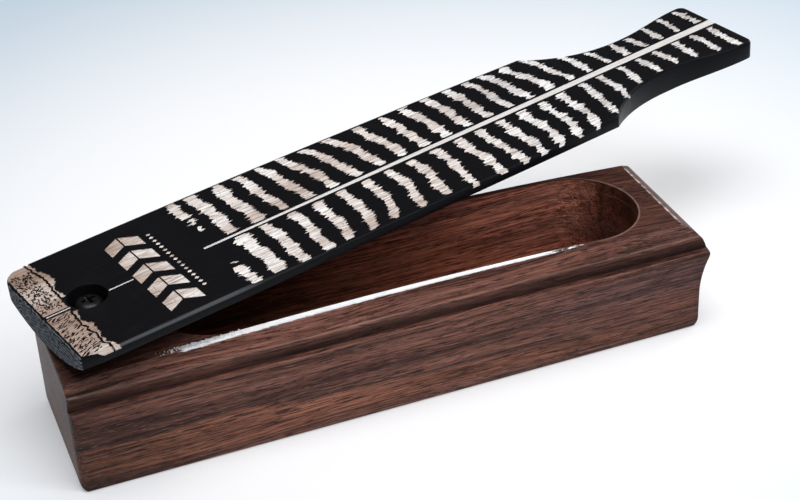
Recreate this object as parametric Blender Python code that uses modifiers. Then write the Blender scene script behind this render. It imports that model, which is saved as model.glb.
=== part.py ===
"""A turkey box call: a one-piece walnut sound box and a crowned paddle lid on a sprung screw.

Units are metres and +Z is up. The origin is the centre of the box's underside. +X runs
along the box towards the handle end, and +Y is the side that the lid is swung towards.
The lid is posed swung open by LID_SWING, with its handle raised by LID_RISE.
"""

import math

import bmesh
import bpy
from mathutils import Matrix, Vector

MM = 0.001

# Sound box
BOX_LENGTH = 190 * MM          # between the two upright end faces
BOX_WIDTH = 46.8 * MM
SIDE_HEIGHT = 26.0 * MM        # top of the upright side face
CREST_HEIGHT = 37.4 * MM       # lips at the middle of the box
LIP_ARCH_RADIUS = 1.667        # lengthwise curve of the lips
CREST_HALF_WIDTH = 19.65 * MM  # outer edge of the lips from the centre line
CREST_TAPER = 0.75 * MM        # how far that edge comes in towards the handle end
CREST_TAPER_START = 10 * MM
CREST_STATIONS = 32            # cross-sections along the lips
BOTTOM_EDGE_RADIUS = 0.8 * MM
END_EDGE_RADIUS = 3.0 * MM     # underside of both end faces
TOP_EDGE_RADIUS = 1.0 * MM     # top of the pivot end's face
CORNER_RADIUS = 2.4 * MM       # upright corners at the pivot end

# Groove along each side, between the side face and the lip
LEDGE_EDGE = 0.5 * MM          # slant on the side face's top edge
LEDGE_HEIGHT = 26.5 * MM       # at the back of the groove
GROOVE_DEPTH = 2.0 * MM
GROOVE_RADIUS = 5.4 * MM       # the cove that flares out to the shoulder
GROOVE_HEIGHT = 27.2 * MM      # where the groove is deepest
GROOVE_END = 141               # angle on the cove's circle, in degrees, where it stops
SHOULDER_RADIUS = 0.8 * MM     # round edge where the lip's slope starts
SHOULDER_HEIGHT = 31.3 * MM
SHOULDER_INSET = 0.65 * MM     # from the side face
SHOULDER_START = -40           # angle, in degrees, where the shoulder leaves the cove
SLOPE_ANGLE = 25.2             # degrees that the lip's slope leans in at the middle

# Nose of the handle end: a bullnose over a cove
NOSE_RADIUS = 13.8 * MM
NOSE_CENTRE_X = 84.5 * MM
NOSE_CENTRE_Z = 22.4 * MM
COVE_RADIUS = 27.0 * MM
COVE_FOOT = 12.0 * MM          # height at which the cove meets the upright end
COVE_END = 153.5               # angles, in degrees, where the cove turns into the bullnose
NOSE_START = 11.5
NOSE_CREASE_X = 90.5 * MM      # where the arched top breaks into the bullnose
NOSE_OVERHANG = 3.0 * MM       # past the upright end

# Sound chamber
CHAMBER_HALF_WIDTH = 18.3 * MM
CHAMBER_FLOOR = 9.0 * MM
CHAMBER_START_X = -46.0 * MM   # centres of the two round ends
CHAMBER_END_X = 65.5 * MM
CHAMBER_FILLET = 4.0 * MM

# Lid
LID_THICKNESS = 9.5 * MM
LID_CROWN_RADIUS = 55.0 * MM
LID_PIVOT_TO_END = 14.3 * MM
LID_PIVOT_TO_TIP = 231.4 * MM
LID_HALF_WIDTH = 26.4 * MM     # at the widest place
LID_WIDEST = 56.0 * MM         # distance of that place from the pivot
LID_SIDE_RADIUS = 4.2          # plan curve of the long sides
LID_SHOULDER = 168.0 * MM      # distance from the pivot
LID_CORNER = 6.5 * MM          # round corner of the pivot end, on the swung side
LID_CLIP = 6.0 * MM            # the other corner is clipped straight, along and across
LID_CLIP_ACROSS = 2.4 * MM
LID_CHAMFER = 0.8 * MM         # round the top face
LID_ROUND_END = 95             # angle, in degrees, where the round corner runs into the side
HANDLE_NECK = 200.0 * MM       # distance from the pivot
HANDLE_NECK_HALF = 12.9 * MM
NECK_SWEEP = 2.4               # how early the shoulder falls in to the neck
HANDLE_TIP_HALF = 16.5 * MM
HANDLE_TIP_FLARE = 1.1 * MM    # the clipped side of the handle flares wider by this
HANDLE_CORNER = 2.6 * MM
HANDLE_LIFT = 2.0              # degrees that the handle's underside rises past the neck

# Pivot
PIVOT_X = -81.6 * MM
LID_TOP = 47.2 * MM            # lid's top face on the pivot axis
LID_SWING = math.radians(13.73)
LID_RISE = math.radians(2.5)
SEAT_DEPTH = 5.0 * MM          # counterbore in the lid's top
SEAT_RADIUS = 5.7 * MM
LID_HOLE_RADIUS = 2.8 * MM

SCREW_LENGTH = 30.0 * MM       # under the head
SCREW_RADIUS = 2.05 * MM
THREAD_ROOT = 1.5 * MM
THREAD_PITCH = 1.7 * MM
THREAD_LENGTH = 20.0 * MM
THREAD_START = 0.3 * MM        # from the end of the plain shank
THREAD_ROOT_FROM = 0.35        # each thread's flat root and crest, as shares of the pitch
THREAD_ROOT_TO = 0.55
THREAD_CREST = 0.95
POINT_LENGTH = 4 * MM          # about the length of the tapered end
POINT_SHOULDER = 0.6 * MM
PILOT_CLEARANCE = 2 * MM       # pilot hole below the screw's tip
HEAD_RADIUS = 4.1 * MM
HEAD_HEIGHT = 2.6 * MM
HEAD_DOME = ((0.45, 0.1 * MM), (0.75, 0.4 * MM), (0.93, 1.0 * MM), (1.0, 1.8 * MM))
HEAD_BELOW_LID = 0.9 * MM
CROSS_WIDTH = 1.05 * MM
CROSS_SPAN = 4.3 * MM
CROSS_DEPTH = 1.7 * MM
CROSS_LIP = 0.5 * MM           # depth of the cross at its outer ends
CROSS_TURN = 20                # degrees that the cross is turned from the box's length

WASHER_THICKNESS = 0.7 * MM
HEAD_WASHER_RADIUS = 4.7 * MM
SPRING_WASHER_RADIUS = 4.5 * MM
SPRING_WASHER_DROP = 0.6 * MM  # below the lid, so that it clears the lid's slant
WASHER_HOLE = 2.4 * MM         # radius
WASHER_EDGE = 0.15 * MM

SPRING_RADIUS = 3.6 * MM       # centre line of the wire
SPRING_WIRE = 0.4 * MM         # radius of the wire
SPRING_TURNS = 5
SPRING_STEPS = 20              # points in a turn
END_TURN_RISE = 2.3            # rise of a flat end turn, in wire radii
POCKET_RADIUS = 5.0 * MM
POCKET_DEPTH = 9.0 * MM

GAP = 0.3 * MM
ROUND_STEPS = 40
SHARP_ANGLE = math.radians(30)
PAST = 5 * MM                  # how far a cutter runs past what it cuts
SAME = 0.001 * MM              # two heights this close are one


def clear_scene():
    for obj in list(bpy.data.objects):
        bpy.data.objects.remove(obj, do_unlink=True)


def new_collection(name):
    collection = bpy.data.collections.new(name)
    bpy.context.scene.collection.children.link(collection)
    return collection


def material(name, colour, roughness, metallic=0.0):
    mat = bpy.data.materials.new(name)
    mat.use_nodes = True
    shader = mat.node_tree.nodes["Principled BSDF"]
    shader.inputs["Base Color"].default_value = (*colour, 1.0)
    shader.inputs["Roughness"].default_value = roughness
    shader.inputs["Metallic"].default_value = metallic
    return mat


def arc(centre_a, centre_b, radius, start, end, steps):
    """Points on an arc in a plane, from one angle to another, in degrees."""
    points = []
    for i in range(steps + 1):
        angle = math.radians(start + (end - start) * i / steps)
        points.append((centre_a + radius * math.cos(angle), centre_b + radius * math.sin(angle)))
    return points


def crest_height(x):
    """Height of the arched lips at a place along the box."""
    return CREST_HEIGHT - LIP_ARCH_RADIUS + math.sqrt(LIP_ARCH_RADIUS ** 2 - x * x)


# Directions of a flat outline's own X, Y and depth in the world.
ALONG_X = Matrix(((0, 0, 1), (1, 0, 0), (0, 1, 0))).to_4x4()
ALONG_Y = Matrix(((1, 0, 0), (0, 0, -1), (0, 1, 0))).to_4x4()
ALONG_Z = Matrix.Identity(4)


def prism(name, points, depth, turn, centre, collection):
    """A flat outline extruded to a depth, as a closed mesh."""
    curve = bpy.data.curves.new(name, "CURVE")
    curve.dimensions = "2D"
    curve.fill_mode = "BOTH"
    curve.extrude = depth / 2
    spline = curve.splines.new("POLY")
    spline.points.add(len(points) - 1)
    for point, (a, b) in zip(spline.points, points):
        point.co = (a, b, 0, 1)
    spline.use_cyclic_u = True
    holder = bpy.data.objects.new(name + "_curve", curve)
    collection.objects.link(holder)
    bpy.context.view_layer.update()
    evaluated = holder.evaluated_get(bpy.context.evaluated_depsgraph_get())
    mesh = bpy.data.meshes.new_from_object(evaluated)
    bpy.data.objects.remove(holder, do_unlink=True)
    bpy.data.curves.remove(curve)
    bm = bmesh.new()
    bm.from_mesh(mesh)
    bmesh.ops.remove_doubles(bm, verts=bm.verts, dist=0.00001)
    bmesh.ops.recalc_face_normals(bm, faces=bm.faces)
    bm.to_mesh(mesh)
    bm.free()
    mesh.name = name
    mesh.shade_smooth()
    mesh.set_sharp_from_angle(angle=SHARP_ANGLE)
    obj = bpy.data.objects.new(name, mesh)
    obj.matrix_world = Matrix.Translation(centre) @ turn
    collection.objects.link(obj)
    return obj


def turned(name, profile, collection, steps=ROUND_STEPS, closed=False):
    """A profile of (radius, height) points, top to bottom, spun about Z."""
    bm = bmesh.new()
    verts = [bm.verts.new((radius, 0, height)) for radius, height in profile]
    pairs = list(zip(verts, verts[1:]))
    if closed:
        pairs.append((verts[-1], verts[0]))
    for first, second in pairs:
        bm.edges.new((first, second))
    mesh = bpy.data.meshes.new(name)
    bm.to_mesh(mesh)
    bm.free()
    obj = bpy.data.objects.new(name, mesh)
    collection.objects.link(obj)
    screw = obj.modifiers.new("Turn", "SCREW")
    screw.axis = "Z"
    screw.angle = math.tau
    screw.steps = steps
    screw.render_steps = steps
    screw.use_merge_vertices = True
    screw.merge_threshold = 0.00001
    screw.use_smooth_shade = True
    return obj


def post(name, radius, bottom, top, collection, steps=ROUND_STEPS):
    """A plain round cutter."""
    return turned(name, [(0, top), (radius, top), (radius, bottom), (0, bottom)], collection, steps)


def boolean(obj, cutter, operation):
    modifier = obj.modifiers.new(operation.title(), "BOOLEAN")
    modifier.operation = operation
    modifier.solver = "EXACT"
    modifier.object = cutter
    cutter.hide_render = True
    cutter.display_type = "WIRE"


def cut(obj, cutter):
    boolean(obj, cutter, "DIFFERENCE")


def keep_inside(obj, shape):
    boolean(obj, shape, "INTERSECT")


def finish(obj, mat, parent=None):
    """Give a part its material and, on a moving part, the empty that it turns about."""
    obj.data.materials.clear()
    obj.data.materials.append(mat)
    if parent:
        obj.parent = parent


def pivot_empty(name, place, turn, collection):
    empty = bpy.data.objects.new(name, None)
    empty.empty_display_size = 10 * MM
    empty.matrix_world = Matrix.Translation(place) @ turn
    collection.objects.link(empty)
    return empty


def half_section():
    """Outer half of the box's cross-section as (outwards, up), from the bottom to the crest."""
    side = BOX_WIDTH / 2
    foot = BOTTOM_EDGE_RADIUS
    points = arc(side - foot, foot, foot, -90, 0, 4)
    points += [(side, SIDE_HEIGHT - LEDGE_EDGE / 2), (side - LEDGE_EDGE, SIDE_HEIGHT)]

    groove_x = side - GROOVE_DEPTH + GROOVE_RADIUS
    low = math.degrees(math.asin((LEDGE_HEIGHT - GROOVE_HEIGHT) / GROOVE_RADIUS))
    points += arc(groove_x, GROOVE_HEIGHT, GROOVE_RADIUS, 180 - low, GROOVE_END, 6)

    shoulder_x = side - SHOULDER_INSET - SHOULDER_RADIUS
    points += arc(shoulder_x, SHOULDER_HEIGHT, SHOULDER_RADIUS, SHOULDER_START, SLOPE_ANGLE, 5)
    points.append((CREST_HALF_WIDTH, CREST_HEIGHT))
    return points


def box_section():
    right = half_section()
    left = [(-a, b) for a, b in reversed(right)]
    return right + left


def box_side_profile():
    """Side view of the box as (along, up): arched top, nose, cove and rounded feet."""
    half = BOX_LENGTH / 2
    foot = END_EDGE_RADIUS
    points = arc(half - foot, foot, foot, -90, 0, 6)
    cove_x = half + COVE_RADIUS
    points += arc(cove_x, COVE_FOOT, COVE_RADIUS, 180, COVE_END, 8)
    crease = math.degrees(math.acos((NOSE_CREASE_X - NOSE_CENTRE_X) / NOSE_RADIUS))
    points += arc(NOSE_CENTRE_X, NOSE_CENTRE_Z, NOSE_RADIUS, NOSE_START, crease, 10)
    top = CREST_HEIGHT + PAST
    points += [(points[-1][0], top), (-half + TOP_EDGE_RADIUS, top)]
    points += arc(-half + TOP_EDGE_RADIUS, crest_height(-half) - TOP_EDGE_RADIUS, TOP_EDGE_RADIUS, 90, 180, 4)
    points += arc(-half + foot, foot, foot, 180, 270, 6)
    return points


def box_plan():
    """Plan of the box, rounded at the pivot end's corners."""
    left = -BOX_LENGTH / 2 + CORNER_RADIUS
    right = BOX_LENGTH / 2 + 2 * PAST
    edge = BOX_WIDTH / 2
    points = [(right, -edge), (right, edge)]
    points += arc(left, edge - CORNER_RADIUS, CORNER_RADIUS, 90, 180, 6)
    points += arc(left, -edge + CORNER_RADIUS, CORNER_RADIUS, 180, 270, 6)
    return points


def chamber_plan():
    points = arc(CHAMBER_END_X, 0, CHAMBER_HALF_WIDTH, -90, 90, 24)
    points += arc(CHAMBER_START_X, 0, CHAMBER_HALF_WIDTH, 90, 270, 24)
    return points


def crest_half_width(x):
    """Outer edge of the lips from the centre line, at a place along the box."""
    past = max(0.0, x - CREST_TAPER_START)
    return CREST_HALF_WIDTH - CREST_TAPER * (past / (BOX_LENGTH / 2 - CREST_TAPER_START)) ** 2


def arch_lips(obj):
    """Slice the extruded section along its length and bend its crest to the lips' arch."""
    bm = bmesh.new()
    bm.from_mesh(obj.data)
    for i in range(1, CREST_STATIONS):
        place = BOX_LENGTH * (i / CREST_STATIONS - 0.5) + NOSE_OVERHANG / 2
        geom = bm.verts[:] + bm.edges[:] + bm.faces[:]
        bmesh.ops.bisect_plane(bm, geom=geom, plane_co=(0, 0, place), plane_no=(0, 0, 1))
    for vert in bm.verts:
        side, height, x = vert.co
        if abs(height - CREST_HEIGHT) < SAME:
            vert.co.y = crest_height(x)
            vert.co.x = math.copysign(crest_half_width(x), side)
    bmesh.ops.triangulate(bm, faces=bm.faces)
    bm.to_mesh(obj.data)
    bm.free()


def build_box(parts, cutters, mat):
    body = prism("box_body", box_section(), BOX_LENGTH + 4 * PAST, ALONG_X, Vector(), parts)
    arch_lips(body)
    side = prism("side_profile", box_side_profile(), 2 * BOX_WIDTH, ALONG_Y, Vector(), cutters)
    keep_inside(body, side)
    plan = prism("plan_outline", box_plan(), 4 * CREST_HEIGHT, ALONG_Z, Vector(), cutters)
    keep_inside(body, plan)

    height = CREST_HEIGHT - CHAMBER_FLOOR + PAST
    middle = Vector((0, 0, CHAMBER_FLOOR + height / 2))
    chamber = prism("chamber_cutter", chamber_plan(), height, ALONG_Z, middle, cutters)
    bevel_rim(chamber, -height / 2, CHAMBER_FILLET, 4)
    cut(body, chamber)

    top = crest_height(PIVOT_X)
    pocket = post("pocket_cutter", POCKET_RADIUS, top - POCKET_DEPTH, top + PAST, cutters)
    pilot = post("pilot_cutter", SCREW_RADIUS + GAP, screw_tip() - PILOT_CLEARANCE, top, cutters)
    for cutter in (pocket, pilot):
        cutter.location.x = PIVOT_X
        cut(body, cutter)
    finish(body, mat)
    return body


def bevel_rim(obj, height, size, segments):
    """Bevel the edges of a prism's end face, which stands at a height in its own space."""
    bm = bmesh.new()
    bm.from_mesh(obj.data)
    rim = [edge for edge in bm.edges if all(abs(v.co.z - height) < SAME for v in edge.verts)
           and edge.calc_face_angle() > SHARP_ANGLE]
    bmesh.ops.bevel(bm, geom=rim, offset=size, segments=segments, profile=0.5, affect="EDGES")
    bm.to_mesh(obj.data)
    bm.free()


def head_top():
    return LID_TOP - HEAD_BELOW_LID


def head_underside():
    return head_top() - HEAD_HEIGHT


def screw_tip():
    return head_underside() - SCREW_LENGTH


def seat_height():
    """Floor of the lid's counterbore on the pivot axis, where the lid rocks."""
    return LID_TOP - SEAT_DEPTH


def lid_half_width(distance):
    """Half the width of the lid's barrel-shaped stretch, at a distance from the pivot."""
    away = distance - LID_WIDEST
    return LID_HALF_WIDTH - LID_SIDE_RADIUS + math.sqrt(LID_SIDE_RADIUS ** 2 - away * away)


def smooth_step(t):
    return t * t * (3 - 2 * t)


def lid_side(start, tip_half):
    """One long side of the lid as (along, outwards), from its first points to the tip."""
    points = list(start)
    steps = 12
    first = points[-1][0]
    for i in range(1, steps + 1):
        along = first + (LID_SHOULDER - first) * i / steps
        points.append((along, lid_half_width(along)))
    shoulder = points[-1][1]
    steps = 10
    for i in range(1, steps + 1):
        t = i / steps
        along = LID_SHOULDER + (HANDLE_NECK - LID_SHOULDER) * t
        fall = 1 - (1 - t) ** NECK_SWEEP
        points.append((along, shoulder + (HANDLE_NECK_HALF - shoulder) * fall))
    steps = 6
    tip = LID_PIVOT_TO_TIP - HANDLE_CORNER
    for i in range(1, steps + 1):
        t = i / steps
        along = HANDLE_NECK + (tip - HANDLE_NECK) * t
        points.append((along, HANDLE_NECK_HALF + (tip_half - HANDLE_NECK_HALF) * smooth_step(t)))
    points += arc(tip, tip_half - HANDLE_CORNER, HANDLE_CORNER, 90, 0, 5)[1:]
    return points


def lid_outline():
    corner = LID_CORNER
    half = lid_half_width(-LID_PIVOT_TO_END + corner)
    rounded = arc(-LID_PIVOT_TO_END + corner, half - corner, corner, 180, LID_ROUND_END, 6)
    upper = lid_side(rounded, HANDLE_TIP_HALF)
    half = lid_half_width(-LID_PIVOT_TO_END + LID_CLIP)
    clipped = [(-LID_PIVOT_TO_END, half - LID_CLIP_ACROSS), (-LID_PIVOT_TO_END + LID_CLIP, half)]
    lower = lid_side(clipped, HANDLE_TIP_HALF + HANDLE_TIP_FLARE)
    return [(along, -out) for along, out in lower] + list(reversed(upper))


def lid_section():
    """Cross-section of the lid's underside, crowned along its length and open above."""
    half = LID_HALF_WIDTH + PAST
    spread = math.degrees(math.asin(half / LID_CROWN_RADIUS))
    crown = arc(0, LID_CROWN_RADIUS - LID_THICKNESS, LID_CROWN_RADIUS, -90 - spread, -90 + spread, 28)
    return crown + [(half, 2 * LID_THICKNESS), (-half, 2 * LID_THICKNESS)]


def build_lid(parts, cutters, mat, pivot):
    """The lid is modelled level on its pivot, then takes the pivot empty's swing and rise."""
    top = Vector((0, 0, SEAT_DEPTH))
    depth = 3 * LID_THICKNESS
    lid = prism("lid", lid_outline(), depth, ALONG_Z, top - Vector((0, 0, depth / 2)), parts)
    bevel_rim(lid, depth / 2, LID_CHAMFER, 1)

    length = 2 * (LID_PIVOT_TO_TIP + PAST)
    section = prism("lid_section", lid_section(), length, ALONG_X, top, cutters)
    keep_inside(lid, section)
    neck = top + Vector((HANDLE_NECK, 0, -LID_THICKNESS))
    lift = Matrix.Rotation(math.radians(-HANDLE_LIFT), 4, "Y")
    handle = prism("handle_section", lid_section(), length, ALONG_X, Vector((0, 0, LID_THICKNESS)), cutters)
    handle.matrix_world = Matrix.Translation(neck) @ lift @ handle.matrix_world
    keep_inside(lid, handle)

    seat = post("seat_cutter", SEAT_RADIUS, 0, SEAT_DEPTH + PAST, cutters)
    hole = post("lid_hole_cutter", LID_HOLE_RADIUS, -LID_THICKNESS, PAST / 2, cutters)
    cut(lid, seat)
    cut(lid, hole)
    for obj in (section, handle, seat, hole):
        obj.parent = pivot
    finish(lid, mat, pivot)
    return lid


def screw_profile():
    """Pan head, shank, turned thread and point, from the head's top down to the tip."""
    points = [(0, HEAD_HEIGHT)]
    points += [(HEAD_RADIUS * share, HEAD_HEIGHT - drop) for share, drop in HEAD_DOME]
    points.append((HEAD_RADIUS, 0))
    shank_end = THREAD_LENGTH - SCREW_LENGTH
    points += [(SCREW_RADIUS, 0), (SCREW_RADIUS, shank_end)]
    turns = int((THREAD_LENGTH - POINT_LENGTH) / THREAD_PITCH)
    for i in range(turns):
        top = shank_end - THREAD_START - i * THREAD_PITCH
        points.append((THREAD_ROOT, top - THREAD_ROOT_FROM * THREAD_PITCH))
        points.append((THREAD_ROOT, top - THREAD_ROOT_TO * THREAD_PITCH))
        points.append((SCREW_RADIUS, top - THREAD_CREST * THREAD_PITCH))
    points += [(THREAD_ROOT, points[-1][1] - POINT_SHOULDER), (0, -SCREW_LENGTH)]
    return points


def build_screw(parts, cutters, mat, pivot):
    screw = turned("pivot_screw", screw_profile(), parts, steps=28)
    for i in range(2):
        name = "cross_cutter_%d" % (i + 1)
        half = CROSS_SPAN / 2
        slot = [(-half, HEAD_HEIGHT + PAST), (-half, HEAD_HEIGHT - CROSS_LIP),
                (-CROSS_WIDTH / 2, HEAD_HEIGHT - CROSS_DEPTH), (CROSS_WIDTH / 2, HEAD_HEIGHT - CROSS_DEPTH),
                (half, HEAD_HEIGHT - CROSS_LIP), (half, HEAD_HEIGHT + PAST)]
        turn = Matrix.Rotation(math.radians(CROSS_TURN + 90 * i), 4, "Z") @ ALONG_Y
        blade = prism(name, slot, CROSS_WIDTH, turn, Vector(), cutters)
        blade.parent = pivot
        cut(screw, blade)
    finish(screw, mat, pivot)
    return screw


def build_washer(name, radius, bottom, parts, mat):
    hole = WASHER_HOLE
    top = WASHER_THICKNESS
    profile = [(hole, top), (radius - WASHER_EDGE, top), (radius, top - WASHER_EDGE), (radius, 0), (hole, 0)]
    washer = turned(name, profile, parts, closed=True)
    washer.location = (PIVOT_X, 0, bottom)
    finish(washer, mat)
    return washer


def spring_points(length):
    """Wire path of a compression spring whose end turns lie flat."""
    dead = SPRING_WIRE * END_TURN_RISE
    total = (SPRING_TURNS + 2) * SPRING_STEPS
    points = []
    for i in range(total + 1):
        turn = i / SPRING_STEPS
        angle = math.tau * turn
        if turn < 1:
            height = dead * turn
        elif turn > SPRING_TURNS + 1:
            height = length - dead * (SPRING_TURNS + 2 - turn)
        else:
            height = dead + (length - 2 * dead) * (turn - 1) / SPRING_TURNS
        points.append((SPRING_RADIUS * math.cos(angle), SPRING_RADIUS * math.sin(angle), height))
    return points


def build_spring(parts, mat, bottom, top):
    curve = bpy.data.curves.new("pivot_spring", "CURVE")
    curve.dimensions = "3D"
    curve.bevel_depth = SPRING_WIRE
    curve.bevel_resolution = 2
    curve.use_fill_caps = True
    points = spring_points(top - bottom - 2 * SPRING_WIRE)
    spline = curve.splines.new("POLY")
    spline.points.add(len(points) - 1)
    for point, place in zip(spline.points, points):
        point.co = (*place, 1)
    spring = bpy.data.objects.new("pivot_spring", curve)
    spring.location = (PIVOT_X, 0, bottom + SPRING_WIRE)
    parts.objects.link(spring)
    weld = spring.modifiers.new("Weld", "WELD")
    weld.merge_threshold = 0.00001
    finish(spring, mat)
    return spring


def main():
    clear_scene()
    parts = new_collection("turkey_box_call")
    cutters = new_collection("cutters")
    walnut = material("walnut", (0.085, 0.034, 0.018), 0.45)
    black = material("black_lacquer", (0.012, 0.012, 0.013), 0.35)
    steel = material("black_steel", (0.02, 0.02, 0.022), 0.35, 0.9)
    zinc = material("zinc", (0.45, 0.45, 0.47), 0.35, 1.0)
    spring_steel = material("spring_steel", (0.32, 0.32, 0.34), 0.3, 1.0)

    build_box(parts, cutters, walnut)

    swing = Matrix.Rotation(LID_SWING, 4, "Z") @ Matrix.Rotation(-LID_RISE, 4, "Y")
    lid_pivot = pivot_empty("lid_pivot", Vector((PIVOT_X, 0, seat_height())), swing, parts)
    build_lid(parts, cutters, black, lid_pivot)

    screw_place = Vector((PIVOT_X, 0, head_underside()))
    screw_pivot = pivot_empty("screw_pivot", screw_place, Matrix.Identity(4), parts)
    build_screw(parts, cutters, steel, screw_pivot)

    head_washer_bottom = head_underside() - GAP - WASHER_THICKNESS
    build_washer("head_washer", HEAD_WASHER_RADIUS, head_washer_bottom, parts, steel)

    lid_underside = LID_TOP - LID_THICKNESS
    spring_washer_bottom = lid_underside - SPRING_WASHER_DROP - WASHER_THICKNESS
    build_washer("spring_washer", SPRING_WASHER_RADIUS, spring_washer_bottom, parts, zinc)
    spring_bottom = crest_height(PIVOT_X) - POCKET_DEPTH + GAP
    build_spring(parts, spring_steel, spring_bottom, spring_washer_bottom - GAP)


main()
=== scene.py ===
import math
import random

import bmesh
import bpy
from mathutils import Matrix, Vector, noise


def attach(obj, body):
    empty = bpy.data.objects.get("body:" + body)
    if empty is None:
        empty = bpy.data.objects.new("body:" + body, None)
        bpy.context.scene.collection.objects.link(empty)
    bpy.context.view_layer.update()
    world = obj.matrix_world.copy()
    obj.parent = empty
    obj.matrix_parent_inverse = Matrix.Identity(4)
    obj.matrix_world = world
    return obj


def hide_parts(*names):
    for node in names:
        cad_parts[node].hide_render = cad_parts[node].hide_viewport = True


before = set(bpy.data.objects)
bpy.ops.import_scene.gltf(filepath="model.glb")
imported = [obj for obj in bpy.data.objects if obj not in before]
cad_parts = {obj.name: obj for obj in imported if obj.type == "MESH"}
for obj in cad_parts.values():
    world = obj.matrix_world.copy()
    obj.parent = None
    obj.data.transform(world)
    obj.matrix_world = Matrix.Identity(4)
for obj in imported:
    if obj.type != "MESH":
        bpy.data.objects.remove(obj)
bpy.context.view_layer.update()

MM = 0.001
SHARP = math.radians(30)

# Camera: its place, and its turn in degrees
CAMERA_PLACE = (-0.1423, -0.4164, 0.3204)
CAMERA_YAW = -19.97
CAMERA_DOWN = 32.59
CAMERA_ROLL = -2.877
CAMERA_LENS = 82.05

# Sound box
BOX_LENGTH = 190 * MM
BOX_WIDTH = 46.8 * MM
SIDE_HEIGHT = 26.0 * MM
CREST_HEIGHT = 37.4 * MM
LIP_ARCH_RADIUS = 1.667
CREST_HALF_WIDTH = 19.65 * MM
CREST_TAPER = 0.75 * MM  # of the lips' outer edge, to the handle end
CREST_TAPER_START = 10 * MM
CREST_STATIONS = 64
BOTTOM_EDGE_RADIUS = 0.8 * MM
END_EDGE_RADIUS = 3 * MM  # underside of both end faces
TOP_EDGE_RADIUS = 1 * MM  # top of the pivot end's face
CORNER_RADIUS = 2.4 * MM  # upright corners at the pivot end
LEDGE_RADIUS = 0.5 * MM  # top edge of the side face
GROOVE_RADIUS = 5.4 * MM  # cove between the side face and the lip
GROOVE_CENTRE_OUT = 3.4 * MM
GROOVE_HEIGHT = 27.2 * MM  # where it is deepest
GROOVE_FOOT = 0.7 * MM  # below the deepest line
GROOVE_END = 141  # degrees
SHOULDER_RADIUS = 0.8 * MM  # where the lip's slope starts
SHOULDER_CENTRE_IN = 1.45 * MM
SHOULDER_HEIGHT = 31.3 * MM
SHOULDER_ANGLES = (-40, 25.2)  # degrees, from the cove to the slope
COVE_RADIUS = 27 * MM  # hollow under the nose
COVE_FOOT = 12 * MM
COVE_END = 153.5  # degrees, as is NOSE_START
NOSE_START = 11.5
NOSE_RADIUS = 13.8 * MM
NOSE_CENTRE = (84.5 * MM, 22.4 * MM)
NOSE_CREASE = 6 * MM  # past its centre, where the arched top breaks
NOSE_OVERHANG = 3 * MM
CHAMBER_HALF_WIDTH = 18.3 * MM
CHAMBER_FLOOR = 9.0 * MM
CHAMBER_START_X = -46.0 * MM  # centres of the two round ends
CHAMBER_END_X = 65.5 * MM
CHAMBER_FILLET = 4 * MM
POCKET_RADIUS = 5 * MM  # holds the spring
POCKET_DEPTH = 9 * MM
PILOT_RADIUS = 2.35 * MM
PILOT_BOTTOM = 11.7 * MM
ARRIS = 0.35 * MM

# Lid, in its own space: the pivot is the origin, +X runs to the handle, the top is at TOP
PIVOT = Vector((-81.6, 0, 42.2)) * MM
SWING = math.radians(13.73)
RISE = math.radians(2.5)
TOP = 5.0 * MM
THICKNESS = 9.5 * MM
CROWN_RADIUS = 55.0 * MM
PIVOT_TO_END = 14.3 * MM
PIVOT_TO_TIP = 231.4 * MM
HALF_WIDTH = 26.4 * MM
WIDEST = 56.0 * MM
SIDE_RADIUS = 4.2
ROUND_CORNER = 6.5 * MM  # of the pivot end, on the swung side
ROUND_CORNER_END = 95  # degrees
CLIP = 6 * MM  # the other corner is clipped straight
CLIP_ACROSS = 2.4 * MM
SHOULDER = 168.0 * MM
NECK = 200.0 * MM
NECK_HALF = 12.9 * MM
NECK_SWEEP = 2.4  # how early the shoulder falls in
HANDLE_LIFT = 2  # degrees, of the handle's underside
TIP_HALF = 16.5 * MM
TIP_FLARE = 1.1 * MM  # more on the clipped side
TIP_CORNER = 2.6 * MM
CHAMFER = 0.8 * MM
LID_ARRIS = 0.22 * MM
LID_ARRIS_ANGLE = math.radians(40)
SEAT_RADIUS = 5.7 * MM
HOLE_RADIUS = 2.8 * MM

# Lid's engraving, in millimetres from the pivot
BAR_COUNT = 23  # on each side
FIRST_BAR = 46.9
BAR_PITCH = 8.75  # shrinks a little from bar to bar
BAR_CLOSING = 0.0255
RAGGED_FROM = 112.0  # the bars are blobbier past this
HANDLE_FROM = 165.0  # and thinner past this
QUILL_START = 36.0
QUILL_END = 232.0
QUILL_TIP_HALF = 0.42
QUILL_WIDENING = 1.12  # over QUILL_RUN
QUILL_RUN = 194
QUILL_DRIFT = 0.01423  # across the lid, per millimetre
QUILL_ACROSS = -1.4
END_BAND_EDGE = -13.65
END_BAND_CRACK = -6.3
CHEVRON_COUNT = 5
CHEVRON_PITCH = 8.4
CHEVRON_FIRST = -21.6
BEAD_COUNT = 17
BEAD_PITCH = 2.0
BEAD_FIRST = -16.4
ISLAND_COUNT = 340

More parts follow.
